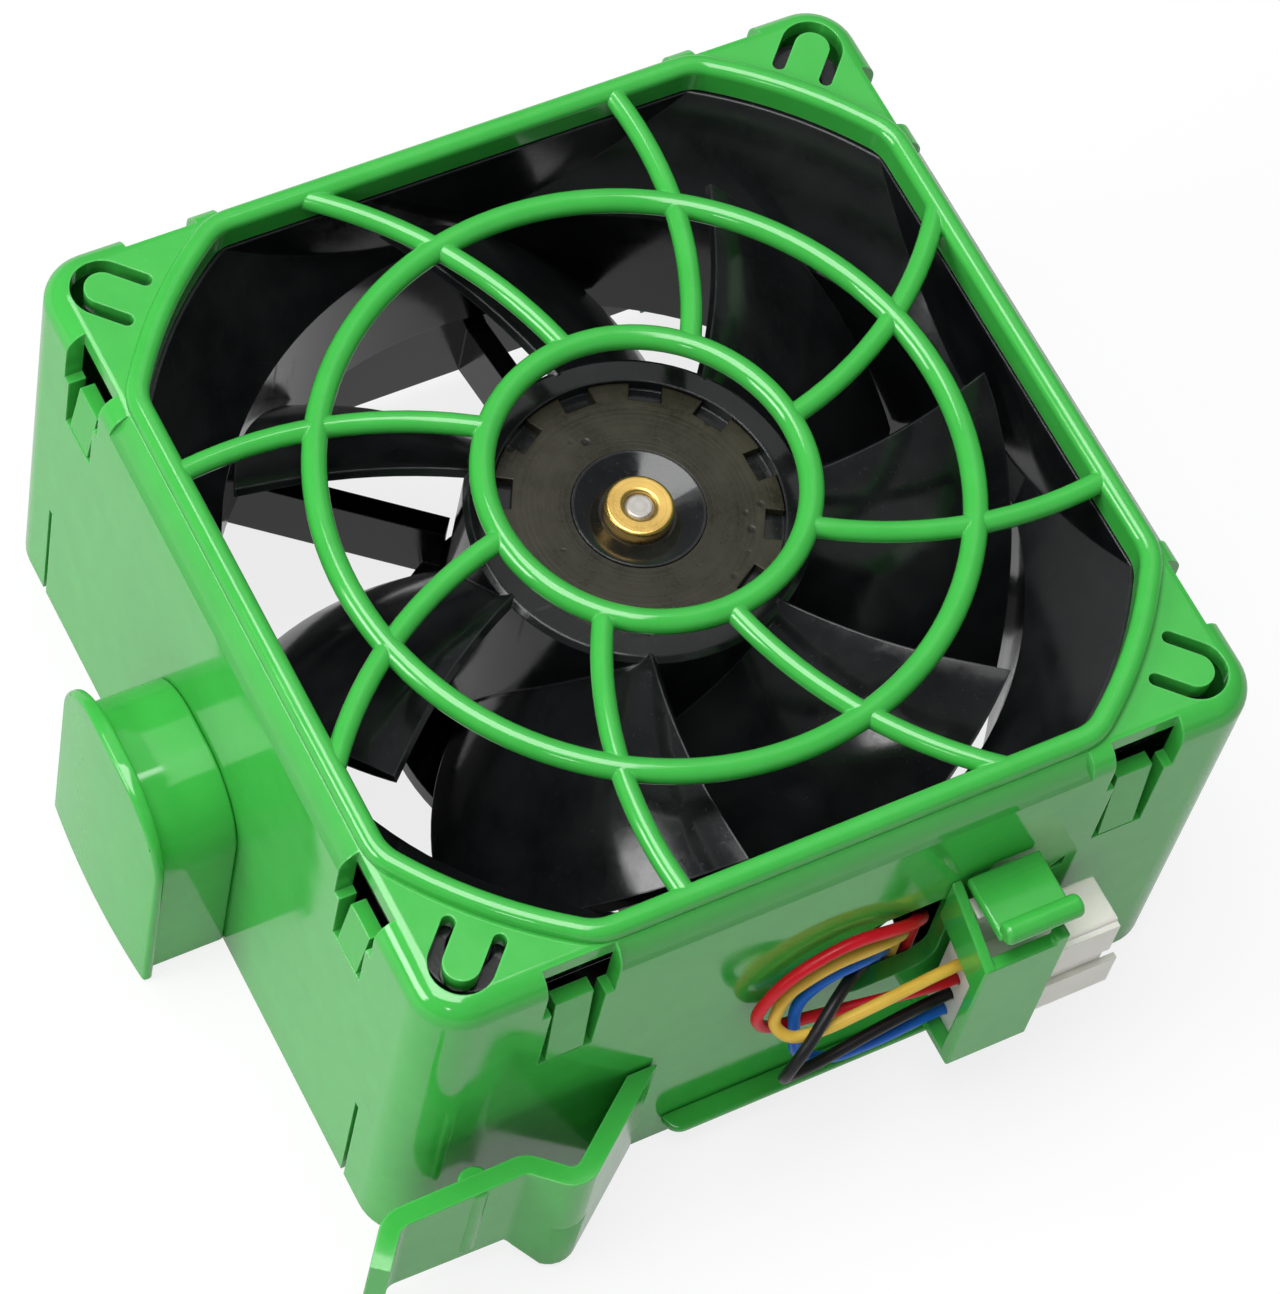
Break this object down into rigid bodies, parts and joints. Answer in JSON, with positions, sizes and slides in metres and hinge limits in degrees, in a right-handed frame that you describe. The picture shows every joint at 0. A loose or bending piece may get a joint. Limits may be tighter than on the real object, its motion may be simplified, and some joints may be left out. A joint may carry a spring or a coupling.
{
  "type": "server fan module",
  "caption": "Hot-swap axial fan in a moulded snap-in carrier with an intake grille, finger grip, side release latch and blind-mate connector.",
  "frame": {"origin": "on the fan's axis, in the plane of the carrier's rear rim", "axes": "+Z along the fan's axis towards the intake grille, +X the way the module is pushed into its bay, -Y towards the release latch and the connector"},
  "size_m": [0.0956, 0.0952, 0.048],
  "materials": {
    "carrier_green": "glossy moulded",
    "fan_black": "glossy moulded",
    "disc_brown": "matte moulded",
    "bush_brass": "turned",
    "bare_steel": "ground",
    "yoke_steel": "zinc plated",
    "magnet": "bonded ferrite",
    "lamination": "stamped stack",
    "copper_wire": "enamelled",
    "insulator_white": "moulded",
    "board_green": "solder mask",
    "component_black": "moulded",
    "connector_ivory": "moulded nylon",
    "terminal_tin": "tin plated",
    "lead_red": "extruded vinyl",
    "lead_yellow": "extruded vinyl",
    "lead_black": "extruded vinyl",
    "lead_blue": "extruded vinyl",
    "label_white": "blank film"
  },
  "bodies": {
    "carrier": {"carrier_shell": "carrier_green", "intake_grille": "carrier_green", "finger_grip": "carrier_green", "connector_bracket": "carrier_green", "cable_ledge": "carrier_green", "connector_housing": "connector_ivory", "connector_terminals": "terminal_tin", "lead_red": "lead_red", "lead_yellow": "lead_yellow", "lead_blue": "lead_blue", "lead_black": "lead_black", "fan_frame": "fan_black", "rear_label": "label_white", "upper_bearing_outer": "bare_steel", "upper_bearing_balls": "bare_steel", "lower_bearing_outer": "bare_steel", "lower_bearing_balls": "bare_steel", "bearing_tube": "bush_brass", "stator_core": "lamination", "upper_insulator": "insulator_white", "lower_insulator": "insulator_white", "stator_coils": "copper_wire", "circuit_board": "board_green", "board_components": "component_black"},
    "rotor": {"impeller": "fan_black", "balance_disc": "disc_brown", "rotor_yoke": "yoke_steel", "magnet_ring": "magnet", "hub_bushing": "bush_brass", "rotor_shaft": "bare_steel", "retaining_ring": "component_black", "preload_spring": "bare_steel", "upper_bearing_inner": "bare_steel", "lower_bearing_inner": "bare_steel"},
    "latch": {"release_latch": "carrier_green"},
    "clip": {"connector_clip": "carrier_green"}
  },
  "joints": [
    {"name": "rotor_spin", "type": "hinge", "parent": "carrier", "child": "rotor", "pos_m": [0, 0, 0.025], "axis": [0, 0, 1], "continuous": true},
    {"name": "latch_flex", "type": "hinge", "parent": "carrier", "child": "latch", "pos_m": [-0.0196, -0.04425, 0.011], "axis": [0, 0, 1], "range_deg": [-5.5, 0], "stiffness_Nm_per_rad": 0.6},
    {"name": "clip_flex", "type": "hinge", "parent": "carrier", "child": "clip", "pos_m": [0.017, -0.0434, 0.0331], "axis": [1, 0, 0], "range_deg": [-25, 0], "stiffness_Nm_per_rad": 0.15}
  ]
}
